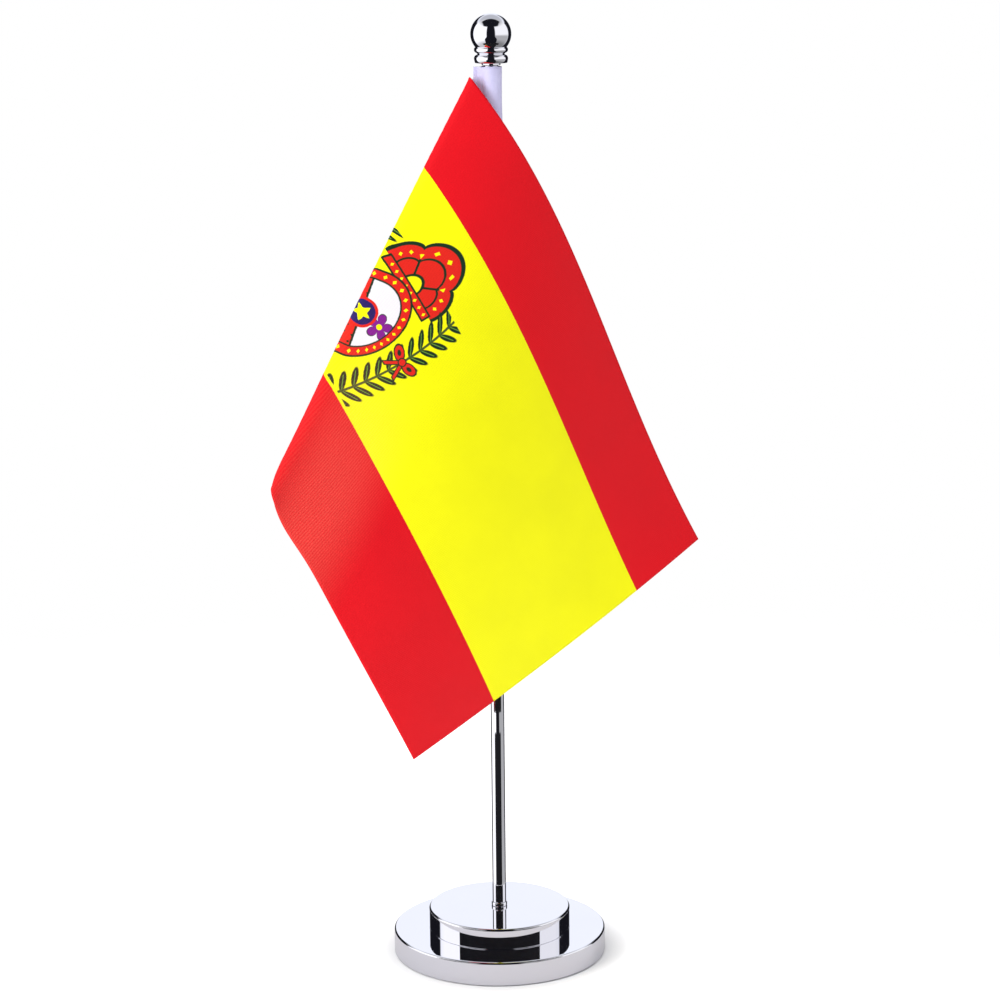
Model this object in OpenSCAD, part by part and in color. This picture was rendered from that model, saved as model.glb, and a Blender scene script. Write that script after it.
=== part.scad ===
// Desk flag stand: a weighted round base, a pole in two screwed lengths, a ball finial and
// a table flag whose sewn sleeve slips over the upper pole. Millimetres, +Z up, underside at z = 0.

/* [Base] */
// outside diameter of the lower chromed disc
base_diameter = 75; // [70:1:82]
// height of the lower disc's top above the table
base_top = 8.7; // [7.8:0.1:9.4]
// outside diameter of the upper chromed disc
plinth_diameter = 50; // [44:1:56]
// height of the upper disc
plinth_height = 7.5; // [7:0.1:9]
// wall thickness of both pressed covers
cover_wall = 0.8; // [0.6:0.1:1]
// rounding of the covers' outer top edges
cover_edge = 0.7; // [0.4:0.1:1]

/* [Pole] */
// outside diameter of the pole tubes
pole_diameter = 4.8; // [4.4:0.1:5]
// outside diameter of the two loose collars
collar_diameter = 5.5; // [5.2:0.1:6]
// height of each collar
collar_height = 1.4; // [1:0.1:2]
// length of each of the two pole tubes
tube_length = 146.9; // [146:0.1:148]

/* [Finial] */
// diameter of the ball
ball_diameter = 13.8; // [12:0.2:15]
// diameter of the two rings under the ball
neck_ring_diameter = 11.5; // [10.5:0.1:12.5]

/* [Flag] */
// length of the cloth away from the pole
cloth_length = 210; // [205:1:215]
// depth of the cloth along the pole
cloth_depth = 140; // [138:1:142]
// thickness of the cloth as a solid
cloth_thickness = 0.6; // [0.5:0.1:0.8]
// outside diameter of the sleeve
sleeve_diameter = 7.2; // [7:0.1:8]

/* [Hidden] */
$fn = 96;
pad_thickness = 1.2;
pad_diameter = base_diameter - 7;
rim_gap = 0.4;
thread_diameter = 3;
thread_clearance = 0.05;
thread_bore = thread_diameter + 2 * thread_clearance;
plinth_top = base_top + plinth_height;
nut_across_flats = 5.5;
nut_bottom = base_top + 0.1;
nut_top = plinth_top - cover_wall - 0.1;
head_height = 1.7;
spring_height = 0.7;
washer_height = 0.5;
pocket_top = pad_thickness + 0.1 + head_height + spring_height + washer_height;
lower_foot = plinth_top + collar_height;
lower_end = lower_foot + tube_length;
upper_foot = lower_end + collar_height;
upper_end = upper_foot + tube_length;
finial_washer_height = 0.7;
finial_foot = upper_end + finial_washer_height;
ball_centre = finial_foot + 9.6;
stud_grip = 9;
stud_reach = 4.2;
cloth_top = 308.2;
sleeve_bottom = upper_foot + 0.5;
sleeve_top = upper_end - 0.2;
sleeve_wall = 0.8;
seam_left = 7.6;

// Foam pad stuck over the whole underside; it covers the screw.
module foot_pad()
  color([0.12, 0.12, 0.13])
    cylinder(d = pad_diameter, h = pad_thickness);

// Outline of half a disc with a rounded outer top edge.
module disc_half(outer_diameter, low, high, edge) {
  translate([0, low]) square([outer_diameter / 2 - edge, high - low]);
  translate([0, low]) square([outer_diameter / 2, high - low - edge]);
  translate([outer_diameter / 2 - edge, high - edge]) circle(r = edge);
}

// Pressed steel dish, open below, chromed.
module base_shell()
  color([0.86, 0.87, 0.9])
    difference() {
      rotate_extrude() disc_half(base_diameter, rim_gap, base_top, cover_edge);
      translate([0, 0, rim_gap - 1])
        cylinder(d = base_diameter - 2 * cover_wall, h = base_top - cover_wall - rim_gap + 1);
      translate([0, 0, base_top - 2]) cylinder(d = thread_bore, h = 4);
    }

// Cast-iron slab that fills the dish, with a pocket for the screw head.
module base_weight()
  color([0.25, 0.25, 0.26])
    difference() {
      translate([0, 0, pad_thickness])
        cylinder(d = base_diameter - 2 * cover_wall - 0.2, h = base_top - cover_wall - pad_thickness - 0.05);
      cylinder(d = 9, h = pocket_top);
      cylinder(d = thread_bore, h = base_top);
    }

// Pan-head screw up through the weight and the dish into the long nut.
module base_screw()
  color([0.6, 0.6, 0.62])
    difference() {
      union() {
        translate([0, 0, pad_thickness + 0.1])
          rotate_extrude() union() {
            square([2, head_height]);
            translate([0, 0.8]) square([2.8, head_height - 0.8]);
            translate([2, 0.8]) circle(r = 0.8);
          }
        translate([0, 0, pad_thickness + 0.5])
          cylinder(d = thread_diameter, h = nut_bottom + 3 - pad_thickness - 0.5);
      }
      for (turn = [0, 90])
        rotate([0, 0, turn])
          translate([-1.5, -0.3, pad_thickness - 0.4]) cube([3, 0.6, 1.5]);
    }

// Split spring washer above the screw head.
module spring_washer()
  color([0.55, 0.55, 0.57])
    difference() {
      translate([0, 0, pad_thickness + 0.1 + head_height])
        cylinder(d = 6.2, h = spring_height);
      translate([0, 0, pad_thickness]) cylinder(d = 3.3, h = 6);
      translate([0, -0.3, pad_thickness]) cube([5, 0.6, 6]);
    }

// Flat washer against the roof of the pocket.
module base_washer()
  color([0.68, 0.68, 0.7])
    difference() {
      translate([0, 0, pocket_top - washer_height]) cylinder(d = 7, h = washer_height);
      translate([0, 0, pad_thickness]) cylinder(d = 3.2, h = 6);
    }

// Smaller pressed cup, chromed, standing on the dish.
module plinth_shell()
  color([0.86, 0.87, 0.9])
    difference() {
      rotate_extrude() disc_half(plinth_diameter, base_top, plinth_top, cover_edge);
      translate([0, 0, base_top - 1])
        cylinder(d = plinth_diameter - 2 * cover_wall, h = plinth_height - cover_wall + 1);
      translate([0, 0, plinth_top - 2]) cylinder(d = thread_bore, h = 4);
    }

// Steel filler inside the cup, with a six-sided hole that keeps the nut from turning.
module plinth_core()
  color([0.4, 0.4, 0.42])
    difference() {
      translate([0, 0, base_top + 0.05])
        cylinder(d = plinth_diameter - 2 * cover_wall - 0.2, h = plinth_height - cover_wall - 0.1);
      translate([0, 0, base_top - 1])
        cylinder(d = (nut_across_flats + 0.1) / cos(30), h = plinth_height + 2, $fn = 6);
    }

// Long hexagon nut: the screw enters from below and the pole's stud from above.
module coupling_nut()
  color([0.72, 0.6, 0.3])
    difference() {
      translate([0, 0, nut_bottom])
        cylinder(d = nut_across_flats / cos(30), h = nut_top - nut_bottom, $fn = 6);
      translate([0, 0, nut_bottom - 1]) cylinder(d = thread_bore, h = nut_top - nut_bottom + 2);
    }

// One loose collar: a plain ring on a stud, between two lengths.
module collar(foot)
  difference() {
    translate([0, 0, foot]) cylinder(d = collar_diameter, h = collar_height);
    translate([0, 0, foot - 1]) cylinder(d = thread_bore, h = collar_height + 2);
  }

module foot_collar()
  color([0.8, 0.81, 0.84])
    collar(plinth_top);

module joint_collar()
  color([0.8, 0.81, 0.84])
    collar(lower_end);

// One chromed pole length. The bore is tapped at the top; the stud is pressed in at the foot.
module tube(foot)
  difference() {
    translate([0, 0, foot]) cylinder(d = pole_diameter, h = tube_length);
    translate([0, 0, foot - 1]) cylinder(d = thread_bore, h = tube_length + 2);
  }

module lower_tube()
  color([0.86, 0.87, 0.9])
    tube(lower_foot);

module upper_tube()
  color([0.86, 0.87, 0.9])
    tube(upper_foot);

// Stud held in a tube's foot: a wider knurled grip above the thread.
module stud(foot, reach) {
  translate([0, 0, foot - reach]) cylinder(d = thread_diameter, h = reach + 1);
  translate([0, 0, foot + 0.5]) cylinder(d = thread_bore - 0.02, h = stud_grip - 0.5);
}

module lower_stud()
  color([0.65, 0.65, 0.68])
    stud(lower_foot, collar_height + stud_reach - 0.2);

module upper_stud()
  color([0.65, 0.65, 0.68])
    stud(upper_foot, collar_height + 5);

// Thin washer between the upper tube and the finial.
module finial_washer()
  color([0.8, 0.81, 0.84])
    difference() {
      translate([0, 0, upper_end]) cylinder(d = 6.4, h = finial_washer_height);
      translate([0, 0, upper_end - 1]) cylinder(d = thread_bore, h = 3);
    }

// Ball with two rounded rings under it, turned in one piece and chromed.
module finial_ball()
  color([0.86, 0.87, 0.9])
    difference() {
      rotate_extrude() intersection() {
        union() {
          translate([0, ball_centre]) circle(d = ball_diameter);
          translate([0, finial_foot]) square([4.7, 7]);
          translate([0, finial_foot]) square([neck_ring_diameter / 2, 1.5]);
          translate([neck_ring_diameter / 2 - 1.5, finial_foot + 1.5]) circle(r = 1.5);
          translate([neck_ring_diameter / 2 - 1.2, finial_foot + 4.4]) circle(r = 1.2);
          translate([0, finial_foot + 3.3]) square([neck_ring_diameter / 2 - 1.2, 2.2]);
        }
        translate([0, finial_foot]) square([20, 40]);
      }
      translate([0, 0, finial_foot - 1]) cylinder(d = thread_bore, h = 8.5);
    }

// Stud pressed into the finial; its lower half screws into the upper tube.
module finial_stud()
  color([0.65, 0.65, 0.68]) {
    translate([0, 0, upper_end - 5]) cylinder(d = thread_diameter, h = 5 + finial_washer_height + 1);
    translate([0, 0, finial_foot + 0.5]) cylinder(d = thread_bore - 0.02, h = 6.8);
  }

// Fabric sleeve: a tube round the pole with a flat sewn lip on the left.
module flag_sleeve()
  color([0.83, 0.83, 0.93])
    difference() {
      translate([0, 0, sleeve_bottom]) union() {
        cylinder(d = sleeve_diameter, h = sleeve_top - sleeve_bottom);
        translate([-5.3, -0.4, 0]) cube([5, 0.8, sleeve_top - sleeve_bottom]);
        translate([-seam_left + 0.3, -0.4, 0]) cube([4, 0.8, cloth_top - sleeve_bottom]);
      }
      translate([0, 0, sleeve_bottom - 1])
        cylinder(d = sleeve_diameter - 2 * sleeve_wall, h = sleeve_top - sleeve_bottom + 2);
    }

// The cloth. "along" runs from the seam to the free end and "down" from the top edge.
// The cloth leaves the seam to the left and forward, turns over at the fold and hangs across
// the front of the pole. The front is a curved patch drawn by three points down the fold,
// three down the free end and two rows between.
fold_start = 3;
fold_slope = 0.64;
fold_half = [2.6, 6];
fold_gap = [2, 5];
function fold_at(down) = fold_start + fold_slope * down;
fold_points = [[-7, -5, 309], [-37, -39, 255], [-73, -60, 181]];
inner_points = [[30, -21, 264], [-5, -51, 205], [-59, -49, 146]];
outer_points = [[40, 31, 203], [15, -25, 157], [-40, -46, 109]];
free_points = [[73, 40, 140], [28, -2, 113], [-29, -24, 78]];
function arc3(p, t) = (1 - t) * (1 - t) * p[0] + 2 * t * (1 - t) * p[1] + t * t * p[2];
function front_at(s, t) =
  let (a = arc3(fold_points, t), b = arc3(inner_points, t))
  let (c = arc3(outer_points, t), d = arc3(free_points, t), r = 1 - s)
  r * r * r * a + 3 * s * r * r * b + 3 * s * s * r * c + s * s * s * d;
function seam_at(down) = [-seam_left, 0, cloth_top - down];
function ease(x) = let (c = min(1, max(0, x))) c * c * (3 - 2 * c);
function mix2(p, t) = p[0] + (p[1] - p[0]) * t;
function cloth_at(along, down) =
  let (t = down / 140, turn = fold_at(down), half = mix2(fold_half, t))
  let (share = along / turn, ends = seam_at(down), hem = arc3(fold_points, t) + [0, mix2(fold_gap, t), 0])
  let (rear = ends + share * (hem - ends))
  let (front = front_at((along - turn) / (210 - turn), t))
  let (w = ease((along - turn + half) / (2 * half)))
  (1 - w) * rear + w * front;

// Columns: even steps to the fold, close steps round it, even steps to the free end.
back_steps = 6;
turn_steps = 8;
front_steps = 22;
down_steps = 16;
column_count = back_steps + turn_steps + front_steps;
function column_along(i, down) =
  let (turn = fold_at(down), half = mix2(fold_half, down / 140))
  i <= back_steps ? (turn - half) * i / back_steps :
  i <= back_steps + turn_steps ? turn - half + 2 * half * (i - back_steps) / turn_steps :
  turn + half + (cloth_length - turn - half) * (i - back_steps - turn_steps) / front_steps;
function normal_at(along, down) =
  let (p = cloth_at(along + 0.2, down) - cloth_at(along - 0.2, down))
  let (q = cloth_at(along, down + 0.2) - cloth_at(along, down - 0.2))
  let (n = cross(p, q))
  n / norm(n);
row_size = column_count + 1;
layer_size = row_size * (down_steps + 1);
cloth_sheet = [for (j = [0:down_steps], i = [0:column_count])
  let (down = cloth_depth * j / down_steps, along = column_along(i, down))
  [cloth_at(along, down), normal_at(along, down)]];
cloth_vertices = concat(
  [for (p = cloth_sheet) p[0] + p[1] * cloth_thickness / 2],
  [for (p = cloth_sheet) p[0] - p[1] * cloth_thickness / 2]);
function at(i, j) = j * row_size + i;
cloth_faces = concat(
  [for (j = [0:down_steps - 1], i = [0:column_count - 1]) [at(i, j), at(i + 1, j), at(i + 1, j + 1)]],
  [for (j = [0:down_steps - 1], i = [0:column_count - 1]) [at(i, j), at(i + 1, j + 1), at(i, j + 1)]],
  [for (j = [0:down_steps - 1], i = [0:column_count - 1])
    [at(i + 1, j + 1) + layer_size, at(i + 1, j) + layer_size, at(i, j) + layer_size]],
  [for (j = [0:down_steps - 1], i = [0:column_count - 1])
    [at(i, j + 1) + layer_size, at(i + 1, j + 1) + layer_size, at(i, j) + layer_size]],
  [for (i = [0:column_count - 1]) each side_pair(at(i + 1, 0), at(i, 0))],
  [for (i = [0:column_count - 1]) each side_pair(at(i, down_steps), at(i + 1, down_steps))],
  [for (j = [0:down_steps - 1]) each side_pair(at(0, j), at(0, j + 1))],
  [for (j = [0:down_steps - 1]) each side_pair(at(column_count, j + 1), at(column_count, j))]);
function side_pair(a, b) = [[a, b, b + layer_size], [a, b + layer_size, a + layer_size]];

module flag_cloth()
  color([0.91, 0.08, 0.12])
    polyhedron(points = cloth_vertices, faces = cloth_faces, convexity = 10);

// One row of stitches through the sleeve's lip.
stitch_pitch = 4;
stitch_count = 34;
module sleeve_stitching()
  color([0.93, 0.93, 0.97])
    for (i = [0:stitch_count - 1])
      translate([-6.6, -0.62, cloth_top - 3 - i * stitch_pitch])
        rotate([180, 0, 0]) cylinder(d = 0.4, h = 2.6, $fn = 16);

foot_pad();
base_shell();
base_weight();
base_screw();
spring_washer();
base_washer();
plinth_shell();
plinth_core();
coupling_nut();
foot_collar();
lower_tube();
lower_stud();
joint_collar();
upper_tube();
upper_stud();
finial_washer();
finial_ball();
finial_stud();
flag_sleeve();
flag_cloth();
sleeve_stitching();
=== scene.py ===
"""Desk flag stand: a weighted chromed base in two steps, a pole of two screwed tubes, a ball finial and a
table flag sewn to a sleeve that slips over the upper tube. Sections follow the order it is put together.
"""
import math

import bpy
import numpy as np
from mathutils import Matrix, Vector


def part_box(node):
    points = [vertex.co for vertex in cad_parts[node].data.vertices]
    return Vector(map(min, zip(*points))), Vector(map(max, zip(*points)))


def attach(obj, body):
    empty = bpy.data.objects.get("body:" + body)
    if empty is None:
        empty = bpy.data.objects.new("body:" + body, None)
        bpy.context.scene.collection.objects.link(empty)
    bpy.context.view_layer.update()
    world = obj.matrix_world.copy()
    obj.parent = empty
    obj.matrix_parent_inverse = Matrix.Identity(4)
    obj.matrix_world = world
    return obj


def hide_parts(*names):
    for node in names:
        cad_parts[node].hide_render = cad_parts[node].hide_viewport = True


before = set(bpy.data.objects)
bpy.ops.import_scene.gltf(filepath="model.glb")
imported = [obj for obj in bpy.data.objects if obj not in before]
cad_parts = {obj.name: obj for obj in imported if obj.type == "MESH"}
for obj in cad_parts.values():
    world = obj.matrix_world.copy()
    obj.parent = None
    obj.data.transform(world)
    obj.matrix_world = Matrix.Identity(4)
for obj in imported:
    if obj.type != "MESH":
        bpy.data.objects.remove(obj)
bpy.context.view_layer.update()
scene = bpy.context.scene


# ---- Studio ----------------------------------------------------------------------------------------------
# A long lens a little above the finial, tipped down, and a pale table under two soft lamps. White screens
# with dark gaps between them and two black cards show only in the polish, where the table fades out.

mm = 0.001
lens = bpy.data.cameras.new("long_lens")
lens.lens, lens.sensor_width, lens.clip_end = 104.0, 36.0, 20.0
camera = bpy.data.objects.new("camera", lens)
scene.collection.objects.link(camera)
camera_place = Matrix.Translation((1.58 * mm, -976.3 * mm, 374.3 * mm))
camera.matrix_world = camera_place @ Matrix.Rotation(math.radians(77.83), 4, "X") @ Matrix.Rotation(
    math.radians(-0.55), 4, "Z")
scene.camera = camera
scene.view_settings.view_transform = "Standard"
scene.view_settings.look = "None"


class Field:
    """A shader socket as a value in a Python expression. The operators add Math nodes, and node() adds any
    other node from its type, its settings, which are set first, and the values or links of its sockets."""

    def __init__(self, tree, socket=None):
        self.tree, self.socket = tree, socket

    def node(self, kind, settings=None, sockets=None, out=0):
        made = self.tree.nodes.new(kind)
        for key, value in (settings or {}).items():
            setattr(made, key, value)
        for key, value in (sockets or {}).items():
            if isinstance(value, Field):
                self.tree.links.new(value.socket, made.inputs[key])
            else:
                made.inputs[key].default_value = value
        return Field(self.tree, made.outputs[out] if made.outputs else None)

    def math(self, operation, *terms):
        return self.node("ShaderNodeMath", {"operation": operation}, dict(enumerate(terms)))

    def __add__(self, other): return self.math("ADD", self, other)
    def __sub__(self, other): return self.math("SUBTRACT", self, other)
    def __rsub__(self, other): return self.math("SUBTRACT", other, self)
    def __mul__(self, other): return self.math("MULTIPLY", self, other)
    def __truediv__(self, other): return self.math("DIVIDE", self, other)
    def __neg__(self): return self.math("MULTIPLY", self, -1.0)
    def __abs__(self): return self.math("ABSOLUTE", self)
    def __pow__(self, power): return self.math("POWER", self, power)
    def most(self, other): return self.math("MAXIMUM", self, other)

    def step(self, low, high):
        """0 below low and 1 above high, with a smooth rise between."""
        return self.node("ShaderNodeMapRange", {"interpolation_type": "SMOOTHSTEP"},
                         {0: self, 1: low, 2: high, 3: 0.0, 4: 1.0})

    def blend(self, colour, other):
        """colour where this is 0 and other where it is 1."""
        return self.node("ShaderNodeMix", {"data_type": "RGBA"}, {0: self, 6: colour, 7: other}, out=2)

    def bump(self, strength, depth):
        """The normal of a surface with this height, depth metres high where it is 1."""
        return self.node("ShaderNodeBump", None, {"Strength": strength, "Distance": depth, "Height": self})

    def split(self):
        """The x, y and z of a vector."""
        parts = self.tree.nodes.new("ShaderNodeSeparateXYZ")
        self.tree.links.new(self.socket, parts.inputs[0])
        return [Field(self.tree, output) for output in parts.outputs]


studio = bpy.data.worlds.new("studio")
studio.use_nodes = True
studio.node_tree.nodes.clear()
scene.world = studio
sky = Field(studio.node_tree)
away = sky.node("ShaderNodeTexCoord", out="Generated")
away_x, away_y, away_z = away.split()
level = (away_x * away_x + away_y * away_y + 1e-6) ** 0.5
facing = -away_y / level
gap_edge = 0.91 - away_z.step(-0.2, -0.5) * 0.12
dark_gap = (facing - gap_edge).step(-0.02, 0.02)
dark_side = facing.step(-0.39, -0.45) * facing.step(-0.99, -0.96) * away_z.step(0.62, 0.5)
dark_top = away_z.step(0.62, 0.70) * away_y.step(0.12, 0.02) * abs(away_x).step(0.66, 0.56)
darkness = dark_gap.most(dark_side).most(dark_top)
right_hand = away_x.step(0.1, 0.3) * facing.step(-0.5, -0.3)
dimming = (1.0 - right_hand * (away_z.step(0.0, -0.2) * 0.45 + 0.2)) * (1.0 - away_z.step(-0.4, -0.75) * 0.5)
dimming = dimming * (1.0 - away_z.step(0.55, 0.8) * 0.45)
bright = sky.node("ShaderNodeVectorMath", {"operation": "SCALE"}, {0: facing.step(-0.6, -0.2).blend(
    (1.04, 1.07, 1.16, 1.0), (1.36, 1.36, 1.38, 1.0)), 3: dimming})
screens = darkness.blend(bright, (0.010, 0.010, 0.014, 1.0))
rays = sky.node("ShaderNodeLightPath")
seen = Field(rays.tree, rays.socket.node.outputs["Is Camera Ray"])
glossy = Field(rays.tree, rays.socket.node.outputs["Is Glossy Ray"])
room = glossy.blend((0.70, 0.70, 0.715, 1.0), screens)
backdrop = seen.blend(room, (1.0, 1.0, 1.0, 1.0))
sky.node("ShaderNodeOutputWorld", None, {0: sky.node("ShaderNodeBackground", None, {0: backdrop, 1: 1.0})})


def field_material(name):
    """A new node material with a principled shader. Returns the material, its shader node and a Field."""
    made = bpy.data.materials.new(name)
    made.use_nodes = True
    tree = made.node_tree
    return made, tree.nodes["Principled BSDF"], Field(tree)


def drive(shader, socket, value):
    """Links a Field to a socket of the shader, or sets a plain number or colour on it."""
    if isinstance(value, Field):
        value.tree.links.new(value.socket, shader.inputs[socket])
    else:
        shader.inputs[socket].default_value = value


def mesh_object(name, points, faces):
    """A mesh object at the origin from an (n, 3) array of points in metres and a list of face arrays, each
    (m, 3) or (m, 4). All faces are smooth."""
    mesh = bpy.data.meshes.new(name)
    rows = [row for group in faces for row in group.tolist()]
    mesh.from_pydata(points.tolist(), [], rows)
    mesh.polygons.foreach_set("use_smooth", np.ones(len(rows), bool))
    mesh.update()
    made = bpy.data.objects.new(name, mesh)
    scene.collection.objects.link(made)
    return made


def grid_faces(rows, columns, loop_rows=False, loop_columns=False):
    """Quads of a rows x columns grid of points: (i, j), (i+1, j), (i+1, j+1), (i, j+1), wrapping where a
    direction is a loop."""
    i, j = np.meshgrid(np.arange(rows if loop_rows else rows - 1),
                       np.arange(columns if loop_columns else columns - 1), indexing="ij")
    ni, nj = (i + 1) % rows, (j + 1) % columns
    quads = np.stack([i * columns + j, ni * columns + j, ni * columns + nj, i * columns + nj], -1)
    return quads.reshape(-1, 4)


table_radius, table_sides = 0.52, 96
round_table = np.linspace(0, 2 * math.pi, table_sides + 1)[:-1]
table_rim = np.stack([table_radius * np.cos(round_table), table_radius * np.sin(round_table),
                      np.full(table_sides, -0.02 * mm)], 1)
table_top = mesh_object("table_top", table_rim, [np.arange(table_sides)[None, :]])
table_paint, table_shader, at_table = field_material("table_paint")
table_place = at_table.node("ShaderNodeTexCoord", out="Object")
table_x, table_y, _ = table_place.split()
table_reach = (table_x * table_x + table_y * table_y) ** 0.5
table_rays = at_table.node("ShaderNodeLightPath")
table_glossy = Field(table_rays.tree, table_rays.socket.node.outputs["Is Glossy Ray"])
far_off, under_base = table_reach.step(0.22, 0.5), table_reach.step(0.066, 0.074)
fade = far_off + table_glossy * (under_base - far_off)
table_shader.inputs["Roughness"].default_value = 0.9
table_shader.inputs["Specular IOR Level"].default_value = 0.1
table_colour = table_glossy.blend((0.97, 0.97, 0.97, 1), (0.68, 0.67, 0.69, 1))
drive(table_shader, "Base Color", table_colour)
table_glow = at_table.node("ShaderNodeEmission", None, {0: (1.0, 1.0, 1.0, 1.0), 1: table_reach.step(
    0.038, 0.055) * (1.0 - table_glossy) * 0.42})
table_finish = Field(at_table.tree, table_shader.outputs[0])
table_face = at_table.node("ShaderNodeAddShader", None, {0: table_finish, 1: table_glow})
hidden = at_table.node("ShaderNodeBsdfTransparent")
top_mix = at_table.node("ShaderNodeMixShader", None, {0: fade, 1: table_face, 2: hidden})
at_table.tree.links.new(top_mix.socket, at_table.tree.nodes["Material Output"].inputs[0])
table_top.data.materials.append(table_paint)


def soft_light(name, place, aim, width, height, watts):
    """A rectangular area light at place, facing the point aim."""
    data = bpy.data.lights.new(name, "AREA")
    data.shape, data.size, data.size_y, data.energy = "RECTANGLE", width, height, watts
    lamp = bpy.data.objects.new(name, data)
    scene.collection.objects.link(lamp)
    toward = np.array(aim, float) - np.array(place, float)
    turn = Vector(toward).to_track_quat("-Z", "Y").to_matrix().to_4x4()
    lamp.matrix_world = Matrix.Translation(place) @ turn
    return lamp


left_screen = soft_light("left_screen", (-0.95, -0.75, 0.55), (-0.02, -0.03, 0.2), 0.55, 0.9, 11.0)
over_lamp = soft_light("over_lamp", (-0.1, -0.5, 1.4), (0, 0, 0.1), 1.2, 1.2, 6.0)
left_screen.visible_glossy = over_lamp.visible_glossy = False

card_paper, card_shader, _ = field_material("card_paper")
card_shader.inputs["Base Color"].default_value = (0.012, 0.012, 0.014, 1.0)
card_shader.inputs["Roughness"].default_value = 0.95
card_shader.inputs["Specular IOR Level"].default_value = 0.0
card_columns = 49


def dark_card(name, half_angle, *edges):
    """Black card bent round the pole on the camera's side, between two edges, each a distance and a height.
    It shows only in the polish."""
    turn = np.linspace(-math.radians(half_angle), math.radians(half_angle), card_columns)
    level = np.ones(card_columns)
    points = np.stack([np.stack([reach * np.sin(turn), -reach * np.cos(turn), height * level], 1)
                       for reach, height in edges])
    card = mesh_object(name, points.reshape(-1, 3), [grid_faces(2, card_columns)])
    card.data.materials.append(card_paper)
    card.visible_camera = card.visible_diffuse = card.visible_shadow = False


dark_card("upright_card", 65.0, (0.2, 0.030), (0.2, 0.115))
dark_card("flat_card", 52.5, (0.070, 0.0), (0.27, 0.0))


# ---- Chromed finish --------------------------------------------------------------------------------------
# Every outside metal piece is turned or pressed steel, polished and chrome plated. The plate is a
# mirror with a faint haze, a few fine wiping scratches and a slightly greyer tone where it is handled.

def polished_chrome():
    """Mirror metal. Roughness is a low base plus a slow cloud and fine streaks; the bump is a hair deep."""
    made, shader, at = field_material("polished_chrome")
    place = at.node("ShaderNodeTexCoord", out="Object")
    cloud = at.node("ShaderNodeTexNoise", None, {"Vector": place, "Scale": 60.0, "Detail": 3.0})
    streak_place = at.node("ShaderNodeMapping", None, {"Vector": place, "Scale": (900.0, 900.0, 60.0)})
    streaks = at.node("ShaderNodeTexNoise", None, {"Vector": streak_place, "Scale": 1.0, "Detail": 2.0})
    wiped = streaks.step(0.62, 0.8)
    shader.inputs["Metallic"].default_value = 1.0
    drive(shader, "Base Color", (cloud * 0.5).blend((0.84, 0.84, 0.88, 1), (0.80, 0.80, 0.85, 1)))
    drive(shader, "Roughness", cloud * 0.03 + wiped * 0.05 + 0.012)
    drive(shader, "Normal", streaks.bump(0.04, 0.00002))
    return made


chrome = polished_chrome()


def arc(centre_r, centre_z, radius, start, end, steps=8):
    """Points of an arc in the r, z half plane: centre plus radius times (cos, sin), angles in degrees."""
    angle = np.radians(np.linspace(start, end, steps + 1))
    return np.stack([centre_r + radius * np.cos(angle), centre_z + radius * np.sin(angle)], 1)


def turned(name, body, slot, finish, profile, *nodes, sides=192):
    """A turned piece: the closed profile of (radius, height) points in mm goes once round Z. Where it
    touches the axis its points are merged to one pole. Stands for the CAD nodes named."""
    outline = np.array(profile, float) * mm
    turn = np.linspace(0, 2 * math.pi, sides + 1)[:-1]
    points = np.stack([outline[:, :1] * np.cos(turn), outline[:, :1] * np.sin(turn),
                       np.repeat(outline[:, 1:], sides, 1)], -1).reshape(-1, 3)
    on_axis = outline[0, 0] == 0 and outline[-1, 0] == 0
    faces = grid_faces(len(outline), sides, loop_rows=not on_axis, loop_columns=True)
    a, b, c, d = (points[faces[:, k]] for k in range(4))
    volume = (np.cross(b - a, c - a) * a).sum() + (np.cross(c - a, d - a) * a).sum()
    if volume < 0:
        faces = faces[:, ::-1]
    if on_axis:
        label = np.arange(len(points))
        label[:sides] = 0
        label[-sides:] = len(points) - sides
        faces = label[faces]
        used, faces = np.unique(faces, return_inverse=True)
        points, faces = points[used], faces.reshape(-1, 4)
        rows = [list(dict.fromkeys(row)) for row in faces.tolist()]
        made = mesh_object(name, points, [np.array([row for row in rows if len(row) == 4]),
                                          np.array([row for row in rows if len(row) == 3])])
    else:
        made = mesh_object(name, points, [faces])
    made.data.materials.append(finish)
    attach(made, body)
    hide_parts(*nodes)
    return made


# ---- Underside -------------------------------------------------------------------------------------------
# A black closed-cell foam disc is stuck over the whole underside, so nothing scratches the table.
# Its cut edge is slightly rounded and its face shows fine pores.


def round_box(node):
    """A round CAD piece's radius, foot and top in mm, from its box at rest."""
    low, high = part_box(node)
    return round(high[0] / mm, 3), round(low[2] / mm, 3), round(high[2] / mm, 3)


def foam_skin():
    """Dark foam: small pores from a cell pattern, as bump and as colour, the colour a painted shade that
    darkens their middles.
    """
    made, shader, at = field_material("foam_skin")
    place = at.node("ShaderNodeTexCoord", out="Object")
    pores = at.node("ShaderNodeTexVoronoi", None, {"Vector": place, "Scale": 1400.0})
    mottled = at.node("ShaderNodeTexNoise", None, {"Vector": place, "Scale": 120.0, "Detail": 4.0})
    # painted shade: each pore is darker towards its deep middle
    deep = pores.step(0.35, 0.1)
    shade = deep * 0.6 + mottled * 0.3
    drive(shader, "Base Color", shade.blend((0.022, 0.022, 0.024, 1), (0.006, 0.006, 0.007, 1)))
    drive(shader, "Roughness", mottled * 0.15 + 0.78)
    drive(shader, "Normal", pores.bump(0.5, 0.0001))
    return made


pad_radius, _, pad_height = round_box("foot_pad")
foot_pad = turned("foam_foot_pad", "base", "pad_foam", foam_skin(), [
    (0, 0), (pad_radius - 0.5, 0), *arc(pad_radius - 0.3, 0.3, 0.3, -90, 0, 4),
    *arc(pad_radius - 0.2, pad_height - 0.2, 0.2, 0, 90, 4), (pad_radius - 0.5, pad_height), (0, pad_height)],
    "foot_pad")


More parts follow.
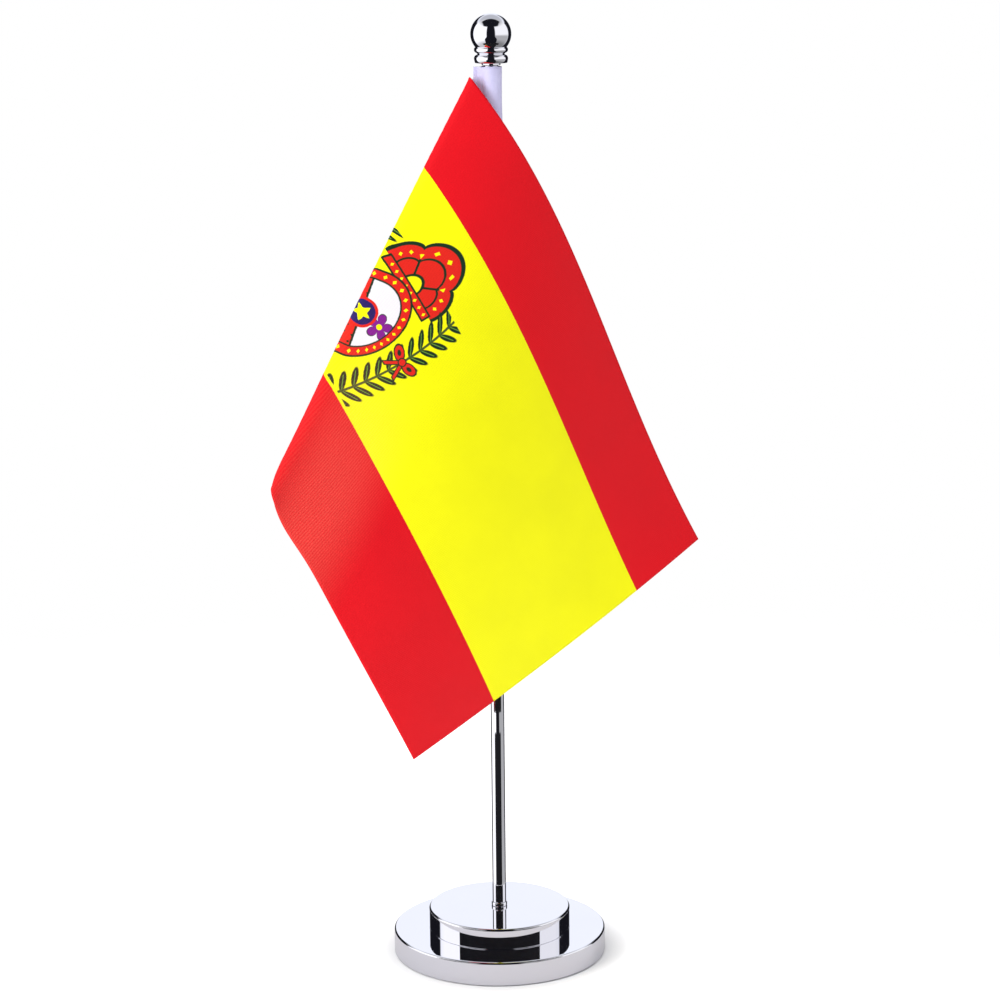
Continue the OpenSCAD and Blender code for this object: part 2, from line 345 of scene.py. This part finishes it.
# ---- Base ------------------------------------------------------------------------------------------------
# A pressed steel dish, open below and filled by a cast-iron weight. Its outer top edge is rolled to a
# small radius, which draws the bright line round the rim.

wall, edge, bore, plinth_seat = 0.8, 0.7, 1.55, 25.4


def pressed_cup(radius, foot, top, seat):
    """The wall of a pressed cup: up its side, round its top edge, in past the seat of what stands on it to
    the bore, and back along the inside. Points 0.1 to 0.3 mm from a corner keep its shading crisp."""
    return [(radius - wall + 0.1, foot), (radius - 0.1, foot), (radius, foot + 0.1), (radius, foot + 0.3),
            (radius, top - edge - 0.2), *arc(radius - edge, top - edge, edge, 0, 90, 12),
            (radius - edge - 0.2, top), (seat, top), (bore + 0.2, top), (bore, top - 0.1), (bore, top - wall),
            (bore + 0.2, top - wall), (radius - wall - 0.3, top - wall), (radius - wall, top - wall - 0.2),
            (radius - wall, foot + 0.1)]


turned("base_dish", "base", "chrome", chrome, pressed_cup(*round_box("base_shell"), plinth_seat),
       "base_shell", sides=256)


def cast_skin():
    """Rough black-painted iron: a fine noise for the sand texture and a coarser one for patches of rust."""
    made, shader, at = field_material("cast_skin")
    place = at.node("ShaderNodeTexCoord", out="Object")
    sand = at.node("ShaderNodeTexNoise", None, {"Vector": place, "Scale": 700.0, "Detail": 5.0})
    patches = at.node("ShaderNodeTexNoise", None, {"Vector": place, "Scale": 90.0, "Detail": 3.0})
    rust = patches.step(0.6, 0.75)
    drive(shader, "Base Color", rust.blend((0.035, 0.035, 0.037, 1), (0.06, 0.035, 0.02, 1)))
    drive(shader, "Roughness", sand * 0.25 + 0.5)
    drive(shader, "Metallic", 0.4)
    drive(shader, "Normal", sand.bump(0.6, 0.0002))
    return made


def lathe_skin(name, colour, darker, metal=1.0):
    """Plain turned or plated metal: fine rings round the axis, from the distance to it, and a slow cloud."""
    made, shader, at = field_material(name)
    place = at.node("ShaderNodeTexCoord", out="Object")
    x, y, z = place.split()
    rings = at.math("SINE", ((x * x + y * y) ** 0.5 + z) * 24000.0)
    cloud = at.node("ShaderNodeTexNoise", None, {"Vector": place, "Scale": 250.0, "Detail": 3.0})
    drive(shader, "Base Color", cloud.blend(colour, darker))
    drive(shader, "Metallic", metal)
    drive(shader, "Roughness", cloud * 0.2 + 0.22)
    drive(shader, "Normal", rings.bump(0.15, 0.00003))
    return made


def finish_node(node, finish):
    """Gives a CAD node its finish."""
    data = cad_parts[node].data
    data.materials.clear()
    data.materials.append(finish)


zinc = lathe_skin("bright_zinc", (0.62, 0.62, 0.64, 1), (0.5, 0.5, 0.53, 1))
finish_node("base_weight", cast_skin())
finish_node("plinth_core", lathe_skin("turned_steel", (0.42, 0.42, 0.44, 1), (0.3, 0.3, 0.32, 1)))
finish_node("coupling_nut", lathe_skin("plain_brass", (0.72, 0.52, 0.2, 1), (0.6, 0.42, 0.15, 1)))
for node in ("base_screw", "spring_washer", "base_washer", "lower_stud", "upper_stud", "finial_stud"):
    finish_node(node, zinc)


# ---- Plinth ----------------------------------------------------------------------------------------------
# A smaller pressed cup stands on the dish, round a steel filler that holds the long nut. The pole's
# foot clamps it down.

ring_seat = 3.2
turned("plinth_cup", "base", "chrome", chrome, pressed_cup(*round_box("plinth_shell"), ring_seat),
       "plinth_shell", sides=256)


# ---- Pole ------------------------------------------------------------------------------------------------
# Two equal chromed tubes. Each has a stud pressed in its foot and a thread in its top, and a thin loose
# ring sits between the ends, so a narrow bright line shows at each joint.

ring_bevel, tube_bevel, clearance = 0.3, 0.2, 0.01


def tube_outline(radius, foot, top, bevel):
    """The wall of a tube: out at the foot, a hair above what it stands on, up the outside, in at the top and
    down the bore."""
    foot = foot + clearance
    return [(bore, foot), (radius - bevel - 0.05, foot), *arc(radius - bevel, foot + bevel, bevel, -90, 0, 4),
            (radius, foot + bevel + 0.1), (radius, top - bevel - 0.1),
            *arc(radius - bevel, top - bevel, bevel, 0, 90, 4), (radius - bevel - 0.05, top), (bore, top),
            (bore, top - 0.1), (bore, foot + 0.1)]


for name, body, node, bevel in (("foot_ring", "foot_ring", "foot_collar", ring_bevel),
                                ("lower_pole_tube", "lower_pole", "lower_tube", tube_bevel),
                                ("joint_ring", "joint_ring", "joint_collar", ring_bevel),
                                ("upper_pole_tube", "upper_pole", "upper_tube", tube_bevel)):
    turned(name, body, "chrome", chrome, tube_outline(*round_box(node), bevel), node, sides=96)


# ---- Finial ----------------------------------------------------------------------------------------------
# A polished ball above two rounded rings, turned in one piece. Its stud screws into the upper tube,
# and a thin washer lies between.

_, finial_foot, ball_top = round_box("finial_ball")
ball_radius, neck_ring, low_round, high_round = 6.9, 5.75, 1.5, 1.2
waist, neck, ball_cut, hole_depth, washer_bevel = 4.72, 4.62, 4.6, 7.4, 0.15
ball_centre = ball_top - ball_radius
turned("finial_washer_ring", "finial_ring", "chrome", chrome,
       tube_outline(*round_box("finial_washer"), washer_bevel), "finial_washer", sides=96)
low_bead, high_bead = finial_foot + 1.5, finial_foot + 4.4
ball_start = -math.degrees(math.acos(ball_cut / ball_radius))
turned("finial_ball_and_rings", "finial", "chrome", chrome, [
    (0, finial_foot + hole_depth), (bore, finial_foot + hole_depth), (bore, finial_foot + hole_depth - 0.1),
    (bore, finial_foot + 0.1),
    (bore + 0.1, finial_foot), (neck_ring - 0.5, finial_foot), (neck_ring - 0.2, finial_foot + 0.1),
    *arc(neck_ring - low_round, low_bead, low_round, -10, 80, 14), (waist, high_bead - 1.3),
    *arc(neck_ring - high_round, high_bead, high_round, -76, 78, 14), (neck, high_bead + 1.22),
    *arc(0, ball_centre, ball_radius, ball_start + 1.0, 89.5, 60), (0, ball_centre + ball_radius)],
    "finial_ball", sides=160)


# ---- Sleeve ----------------------------------------------------------------------------------------------
# A strip of white satin folded round the upper tube and sewn to itself, which leaves a flat lip on the
# left. The cloth is sewn along that lip, and the sleeve turns freely on the tube.

_, sleeve_foot, sleeve_top = round_box("flag_sleeve")
seam_top = 308.2
sleeve_round, sleeve_cloth, lip_reach, short_lip = 3.4, 0.36, 7.1, 6.0
lip_root, lip_half, meet_x, meet_y, meet_angle = 4.7, 0.2, 2.95, 1.70, 150
crease_depth, tube_reach, frayed_height = 0.05, 4.2, 6


def sleeve_outline(lip):
    """The strip's section in mm: from the lip's edge along its front, round the tube and back along its rear.
    Each side is a level run that rises smoothly to the circle."""
    run = np.linspace(-lip, -lip_root, 7)
    rise = np.linspace(-lip_root, -meet_x, 9)[1:-1]
    ease = (rise + lip_root) / (lip_root - meet_x)
    circle = np.radians(np.linspace(meet_angle, -meet_angle, 61))
    lift = lip_half + (meet_y - lip_half) * ease * ease * (3 - 2 * ease)
    x = np.concatenate([run, rise, sleeve_round * np.cos(circle), rise[::-1], run[::-1]])
    level = np.full(len(run), lip_half)
    y = np.concatenate([level, lift, sleeve_round * np.sin(circle), -lift[::-1], -level])
    return np.stack([x, y], 1)


sleeve_z = np.concatenate([np.linspace(sleeve_foot, seam_top, 150),
                           np.linspace(seam_top + 0.1, sleeve_top, 24)])
lip_at = np.where(sleeve_z < seam_top + 0.05, lip_reach, short_lip)
outlines = np.stack([sleeve_outline(lip) for lip in lip_at])
tilt = np.arctan2(outlines[..., 1], outlines[..., 0])
height = sleeve_z[:, None]
creases = crease_depth * np.sin(3 * tilt + height * 0.35) + crease_depth * np.sin(5 * tilt - height * 0.21)
creases *= (np.hypot(outlines[..., 0], outlines[..., 1]) < tube_reach)
swell = 1 + creases / sleeve_round
near_top = np.clip((height - sleeve_top + frayed_height) / frayed_height, 0, 1) ** 2
frayed_z = height - near_top * (0.22 + 0.13 * np.sin(2 * tilt + 1) + 0.09 * np.sin(7 * tilt))
sleeve_points = np.concatenate([outlines * swell[..., None], frayed_z[..., None]], -1) * mm
sleeve = mesh_object("satin_sleeve", sleeve_points.reshape(-1, 3),
                     [grid_faces(len(sleeve_z), outlines.shape[1])[:, ::-1]])


def satin_white():
    """White satin with a lilac cast: fine lengthwise ribs from the height and the angle, and a soft sheen."""
    made, shader, at = field_material("satin_white")
    place = at.node("ShaderNodeTexCoord", out="Object")
    x, y, z = place.split()
    across = at.math("SINE", (x + y) * 16000.0)
    along = at.math("SINE", z * 14000.0)
    cloud = at.node("ShaderNodeTexNoise", None, {"Vector": place, "Scale": 220.0, "Detail": 3.0})
    weave = across * 0.5 + along * 0.5
    shade = cloud * 0.6 + weave * 0.05
    drive(shader, "Base Color", shade.blend((0.66, 0.64, 0.90, 1), (0.56, 0.54, 0.82, 1)))
    drive(shader, "Roughness", cloud * 0.15 + 0.5)
    shader.inputs["Sheen Weight"].default_value = 0.15
    shader.inputs["Sheen Roughness"].default_value = 0.4
    drive(shader, "Normal", weave.bump(0.25, 0.00008))
    return made


sleeve.data.materials.append(satin_white())
thick = sleeve.modifiers.new("cloth_thickness", "SOLIDIFY")
thick.thickness, thick.offset = sleeve_cloth * mm, 0.0
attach(sleeve, "flag")
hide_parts("flag_sleeve")


# ---- Flag cloth ------------------------------------------------------------------------------------------
# One piece of printed satin polyester, 210 mm by 140 mm, cut hot so that its edges need no hem. It leaves
# the seam to the left and forward, turns over at a slanting fold and hangs across the front of the pole.

cloth_length, cloth_depth, cloth_thickness, seam_left = 210.0, 140.0, 0.3, 7.6
fold_start, fold_slope = 3.0, 0.64
fold_half, fold_gap = (2.6, 6.0), (2.0, 5.0)
belly_along, belly_down, belly_width, belly_pull = 14, 138, 12, 1.8
tip_down, tip_long, tip_wide, tip_push = 141, 4, 5, 0.9
fold_points = np.array([[-7, -5, 309], [-37, -39, 255], [-73, -60, 181]], float)
inner_points = np.array([[30, -21, 264], [-5, -51, 205], [-59, -49, 146]], float)
outer_points = np.array([[40, 31, 203], [15, -25, 157], [-40, -46, 109]], float)
free_points = np.array([[73, 40, 140], [28, -2, 113], [-29, -24, 78]], float)


def arc3(points, t):
    """The curve (1-t)^2 p0 + 2t(1-t) p1 + t^2 p2."""
    t = t[..., None]
    return (1 - t) ** 2 * points[0] + 2 * t * (1 - t) * points[1] + t * t * points[2]


def cloth_at(along, down):
    """Where the cloth's point at along, down mm hangs. The rear part runs straight from the seam to the fold;
    the front is a cubic patch over four curves, from the fold to the free end; a smooth step across the
    fold's width joins the two. Two small bells round off the fold's lower corner: one pulls the belly of the
    front in, and one pushes the corner's tip out."""
    t = down / cloth_depth
    turn = fold_start + fold_slope * down
    half = fold_half[0] + (fold_half[1] - fold_half[0]) * t
    seam = np.stack([np.full_like(t, -seam_left), np.zeros_like(t), seam_top - down], -1)
    hem = arc3(fold_points, t)
    gap = fold_gap[0] + (fold_gap[1] - fold_gap[0]) * t
    behind = hem + np.stack([np.zeros_like(t), gap, np.zeros_like(t)], -1)
    rear = seam + (along / turn)[..., None] * (behind - seam)
    s = ((along - turn) / (cloth_length - turn))[..., None]
    r = 1 - s
    front = (r ** 3 * hem + 3 * s * r * r * arc3(inner_points, t)
             + 3 * s * s * r * arc3(outer_points, t) + s ** 3 * arc3(free_points, t))
    c = np.clip((along - turn + half) / (2 * half), 0, 1)
    w = (c * c * (3 - 2 * c))[..., None]
    cloth = (1 - w) * rear + w * front
    belly = np.exp(-((down - belly_down) / belly_width) ** 2)
    belly *= np.exp(-((along - turn - belly_along) / belly_width) ** 2)
    tip = np.exp(-((down - tip_down) / tip_long) ** 2) * np.exp(-((along - turn) / tip_wide) ** 2)
    cloth[..., 0] += tip_push * tip - belly_pull * belly
    return cloth


cloth_rows, cloth_columns = 141, 241
down_mm = np.linspace(0, cloth_depth, cloth_rows)[:, None] + np.zeros((1, cloth_columns))
share = np.linspace(0, 1, cloth_columns)[None, :] + np.zeros((cloth_rows, 1))
along_mm = share * cloth_length
cloth_points = cloth_at(along_mm, down_mm) * mm
cloth = mesh_object("striped_cloth", cloth_points.reshape(-1, 3), [grid_faces(cloth_rows, cloth_columns)])
cloth_uv = cloth.data.uv_layers.new(name="cloth")
corner = np.zeros(len(cloth.data.loops), np.int32)
cloth.data.loops.foreach_get("vertex_index", corner)
flat_uv = np.stack([along_mm / cloth_length, 1 - down_mm / cloth_depth], -1).reshape(-1, 2)
cloth_uv.data.foreach_set("uv", flat_uv[corner].astype(np.float32).ravel())


def printed_satin():
    """The print, in mm along and down the cloth: three bands, and a badge of a petal fan over a round disc
    with a leafy branch each side. Each shape is a distance from a curve, made a mask by a smooth step."""
    made, shader, at = field_material("printed_satin")
    u, v, _ = at.node("ShaderNodeUVMap", {"uv_map": "cloth"}).split()
    along, down = u * cloth_length, (1 - v) * cloth_depth
    flat_place = at.node("ShaderNodeCombineXYZ", None, {0: along, 1: down, 2: 0.0})
    bleed = at.node("ShaderNodeTexNoise", None, {"Vector": flat_place, "Scale": 1.2, "Detail": 2.0}) - 0.5
    red, yellow = (0.73, 0.003, 0.010, 1), (0.93, 0.91, 0.001, 1)
    ink_green, ink_red, ink_white = (0.006, 0.030, 0.012, 1), (0.74, 0.018, 0.010, 1), (0.86, 0.82, 0.86, 1)
    ink_blue, ink_purple = (0.02, 0.012, 0.12, 1), (0.22, 0.012, 0.26, 1)
    band_middle, band_half = cloth_depth / 2, cloth_depth / 4
    badge_along, badge_down = 64.0, 74.0
    band = (abs(down + bleed * 0.3 - band_middle) - band_half).step(-0.12, 0.12)
    colour = band.blend(yellow, red)
    x, y = along - badge_along + bleed * 0.25, badge_down - down + bleed * 0.25

    def ring(cx, cy, stretch=1.0):
        """Distance from a centre, with y stretched."""
        dx, dy = x - cx, (y - cy) * stretch
        return (dx * dx + dy * dy) ** 0.5

    def bearing(cx, cy):
        """Angle about a centre, 0 upwards."""
        return at.math("ARCTAN2", x - cx, y - cy)

    def inside(distance, size, soft=0.14):
        return (distance - size).step(soft, -soft)

    # petal fan: three tall and two half petals over a band, with dark outlines, beads and a yellow eye
    fan_x, fan_y = -5.0, 10.5
    fan_r, fan_turn = ring(fan_x, fan_y, 0.66), bearing(fan_x, fan_y)
    upper = (y - fan_y).step(-0.1, 0.1)
    scallop = abs(at.math("COSINE", fan_turn * 2.5)) ** 0.6
    fan_edge = scallop * 2.6 + 11.6
    colour = (inside(fan_r - fan_edge, 0.7) * upper).blend(colour, ink_green)
    colour = (inside(fan_r - fan_edge, -0.5) * upper).blend(colour, ink_red)
    inner_edge = scallop * 2.2 + 7.2
    colour = (inside(abs(fan_r - inner_edge), 0.35) * upper).blend(colour, ink_green)
    beads = inside(abs(fan_r - inner_edge - 1.9) + abs(at.math("SINE", fan_turn * 10.0)) * 1.3, 0.75)
    colour = (beads * upper).blend(colour, yellow)
    ribs = inside(abs(at.math("COSINE", fan_turn * 2.5)) * fan_r, 0.8) * inside(fan_r, 8.4)
    colour = (ribs * upper).blend(colour, ink_green)
    colour = (inside(fan_r, 3.9) * upper).blend(colour, ink_green)
    colour = (inside(fan_r, 3.1) * upper).blend(colour, yellow)
    band_y, band_x = abs(y - fan_y + 1.0), abs(x - fan_x)
    colour = (inside(band_y, 2.0) * inside(band_x, 12.6)).blend(colour, ink_green)
    colour = (inside(band_y, 1.3) * inside(band_x, 11.9)).blend(colour, ink_red)
    studs = inside(abs(at.math("SINE", x * 1.1)) * 1.4 + band_y, 0.8)
    colour = (studs * inside(band_x, 11.4)).blend(colour, yellow)

    # oval medallion: a beaded red rim round a field cut by a slanting line, white with a purple flower on
    # one side and red with dark lozenges on the other, and a blue centre with a gold star
    oval_x, oval_y = -5.0, -8.5
    oval_r, oval_turn = ring(oval_x, oval_y, 0.76), bearing(oval_x, oval_y)
    colour = inside(oval_r, 13.9).blend(colour, ink_green)
    colour = inside(oval_r, 13.3).blend(colour, ink_red)
    rim_beads = abs(at.math("SINE", oval_turn * 14.0)) * 1.2 + abs(oval_r - 12.1)
    colour = inside(rim_beads, 0.7).blend(colour, yellow)
    colour = inside(oval_r, 10.9).blend(colour, ink_green)
    slant = (x - oval_x) * 0.8 + (y - oval_y) * 0.6
    lozenge = abs(at.math("SINE", x * 1.15 + y * 0.6)) + abs(at.math("SINE", y * 1.0 - x * 0.7))
    red_field = inside(lozenge, 0.55, 0.1).blend(ink_red, ink_green)
    flower_x, flower_y = 1.9, -6.2
    flower_r, flower_turn = ring(flower_x, flower_y), bearing(flower_x, flower_y)
    petals = abs(at.math("SINE", flower_turn * 2.5)) ** 0.7 * 2.9 + 1.6
    white_field = inside(flower_r - petals, 0.35).blend(ink_white, ink_green)
    white_field = inside(flower_r - petals, 0.0).blend(white_field, ink_purple)
    white_field = inside(flower_r, 1.0).blend(white_field, yellow)
    field = slant.step(-0.1, 0.1).blend(red_field, white_field)
    field = inside(abs(slant), 0.3).blend(field, ink_green)
    colour = inside(oval_r, 10.4).blend(colour, field)
    centre_r = ring(oval_x, oval_y, 0.9)
    colour = inside(centre_r, 5.0).blend(colour, ink_red)
    colour = inside(centre_r, 4.1).blend(colour, ink_blue)
    star_fold = abs(at.math("SINE", oval_turn * 2.5))
    colour = inside(centre_r + star_fold * 1.5, 2.9).blend(colour, yellow)

    # leafy branches: a bowed stem each side, paired leaves leaning upwards along it
    stem_r = ring(-6.0, -6.0, 0.42)
    off = stem_r - 22.0
    reach = inside(abs(y + 6.0), 24.0)
    lean = (y - abs(off) * 0.75) / 4.4
    cell = lean - at.math("FLOOR", lean) - 0.5
    leaf_width = (abs(off) - 2.7) / 2.7
    leaf = inside((cell * cell * 11.0 + leaf_width * leaf_width) ** 0.5, 1.0, 0.12)
    colour = (leaf * reach).blend(colour, ink_green)
    vein = inside(abs(cell), 0.035, 0.03) * inside(abs(off), 4.4)
    colour = (leaf * reach * vein).blend(colour, (0.16, 0.34, 0.04, 1))
    colour = (inside(abs(off), 0.4) * reach).blend(colour, (0.05, 0.09, 0.02, 1))

    # ribbon bow on each stem: two round loops, a knot and two short tails, outlined
    bow_x, bow_y = abs(off), y + 5.5
    loop_x, loop_y = (bow_x - 3.3) / 3.0, (bow_y - bow_x * 0.25) / 2.1
    loop_r = (loop_x * loop_x + loop_y * loop_y) ** 0.5
    tail = inside(abs(bow_x + bow_y * 0.55), 1.0) * bow_y.step(-6.2, -5.9) * bow_y.step(0.1, -0.1)
    tail_core = inside(abs(bow_x + bow_y * 0.55), 0.55) * bow_y.step(-5.7, -5.4) * bow_y.step(0.1, -0.1)
    colour = tail.blend(colour, ink_green)
    colour = tail_core.blend(colour, ink_red)
    colour = inside(loop_r, 1.0, 0.05).blend(colour, ink_green)
    colour = inside(loop_r, 0.80, 0.05).blend(colour, ink_red)
    colour = inside(loop_r, 0.34, 0.05).blend(colour, ink_green)
    knot_r = (bow_x * bow_x + bow_y * bow_y) ** 0.5
    colour = inside(knot_r, 1.6).blend(colour, ink_green)
    colour = inside(knot_r, 1.15).blend(colour, ink_red)

    # the satin weave: slanting ribs, a fine cross thread and slow unevenness, with a paler strip past the
    # fold that is a painted highlight of the satin's sheen
    rib = at.math("SINE", (along - down * 0.36 + bleed * 0.5) * 7.0)
    thread = at.math("SINE", (along * 0.5 + down) * 9.0)
    slow = at.node("ShaderNodeTexNoise", None, {"Vector": flat_place, "Scale": 0.05, "Detail": 3.0})
    grain = at.node("ShaderNodeTexNoise", None, {"Vector": flat_place, "Scale": 2.4, "Detail": 3.0})
    from_fold = along - fold_start - down * fold_slope
    # painted highlight: a paler, pinker strip about 22 mm past the fold on the lower half of the cloth
    painted_highlight_strip = abs(from_fold - 22.0).step(30.0, 3.0) * down.step(70.0, 122.0)
    painted_highlight = painted_highlight_strip * (rib * 0.30 + grain * 0.9 + 0.25)
    colour = (painted_highlight * 0.2).blend(colour, (1.0, 0.30, 0.20, 1))
    shade = rib * 0.02 + thread * 0.015 + (grain - 0.5) * 0.22 + (slow - 0.5) * 0.12
    colour = at.node("ShaderNodeVectorMath", {"operation": "SCALE"}, {0: colour, 3: shade + 1.0})
    drive(shader, "Base Color", colour)
    drive(shader, "Roughness", grain * 0.16 + slow * 0.1 + 0.36)
    shader.inputs["Specular IOR Level"].default_value = 0.14
    height = rib * 0.3 + thread * 0.25 + grain * 0.9 + slow * 6.0
    drive(shader, "Normal", height.bump(0.22, 0.0001))
    return made


cloth.data.materials.append(printed_satin())
cloth_body = cloth.modifiers.new("cloth_thickness", "SOLIDIFY")
cloth_body.thickness, cloth_body.offset = cloth_thickness * mm, 0.0
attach(cloth, "flag")
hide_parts("flag_cloth")


# ---- Seam stitches ---------------------------------------------------------------------------------------
# A row of straight lock stitches in white polyester runs down the lip, through the sleeve and the cloth.

stitch_pitch, stitch_length, stitch_radius, stitch_count = 4.0, 2.6, 0.2, 34
stitch_x, stitch_y, first_stitch = -6.3, -0.42, 3
ring_turn = np.linspace(0, 2 * math.pi, 9)[:-1]
length_turn = np.linspace(-math.pi / 2, math.pi / 2, 7)
bead = np.stack([stitch_radius * np.cos(length_turn)[:, None] * np.cos(ring_turn),
                 stitch_radius * np.cos(length_turn)[:, None] * np.sin(ring_turn),
                 stitch_length / 2 * np.sin(length_turn)[:, None] + 0 * ring_turn], -1).reshape(-1, 3)
bead_faces = grid_faces(len(length_turn), len(ring_turn), loop_columns=True)[:, ::-1]
places = np.stack([np.full(stitch_count, stitch_x), np.full(stitch_count, stitch_y),
                   seam_top - first_stitch - stitch_length / 2 - stitch_pitch * np.arange(stitch_count)], 1)
stitch_points = (places[:, None, :] + bead[None]).reshape(-1, 3) * mm
stitch_faces = (bead_faces[None] + (np.arange(stitch_count) * len(bead))[:, None, None]).reshape(-1, 4)
stitches = mesh_object("seam_stitches", stitch_points, [stitch_faces])


def twisted_thread():
    """White thread: slanting twist lines as colour and bump."""
    made, shader, at = field_material("twisted_thread")
    place = at.node("ShaderNodeTexCoord", out="Object")
    x, y, z = place.split()
    twist = at.math("SINE", z * 22000.0 + x * 16000.0)
    drive(shader, "Base Color", (twist * 0.5 + 0.5).blend((0.62, 0.62, 0.68, 1), (0.82, 0.82, 0.88, 1)))
    drive(shader, "Roughness", twist * 0.08 + 0.55)
    drive(shader, "Normal", twist.bump(0.4, 0.00004))
    return made


stitches.data.materials.append(twisted_thread())
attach(stitches, "flag")
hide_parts("sleeve_stitching")
